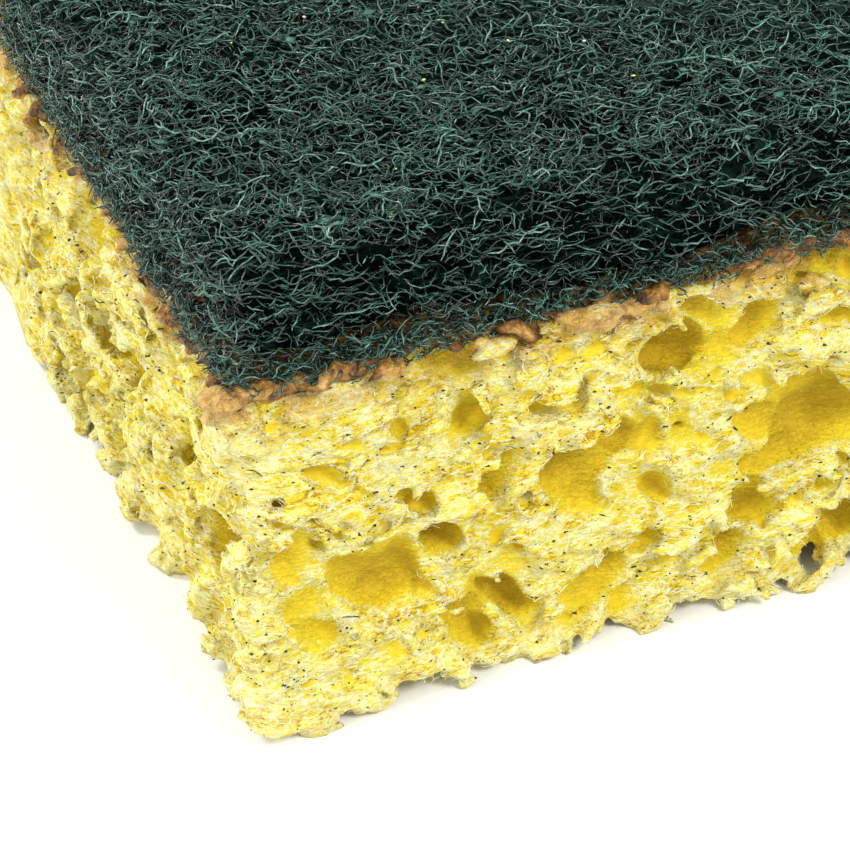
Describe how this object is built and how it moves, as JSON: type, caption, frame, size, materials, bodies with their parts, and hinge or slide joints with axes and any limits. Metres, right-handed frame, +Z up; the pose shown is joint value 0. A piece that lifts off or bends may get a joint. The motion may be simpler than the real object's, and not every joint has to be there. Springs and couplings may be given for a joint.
{
  "type": "cleaning sponge",
  "caption": "Rectangular porous cellulose cleaning sponge with a nonwoven scouring pad glued over its top face, for washing and scrubbing by hand.",
  "frame": {"origin": "middle of the sponge's base, on the surface it lies on", "axes": "+X along the long side, +Y along the short side, +Z up from the cellulose block to the scouring pad"},
  "size_m": [0.155, 0.092, 0.0194],
  "materials": {
    "cellulose": "matt, open-pored, fibrous",
    "glue": "hardened amber resin, satin",
    "scouring_web": "resin-coated nonwoven fibres, satin"
  },
  "bodies": {
    "root": {"sponge_block": "cellulose", "glue_film": "glue", "scouring_pad": "scouring_web"}
  },
  "joints": []
}
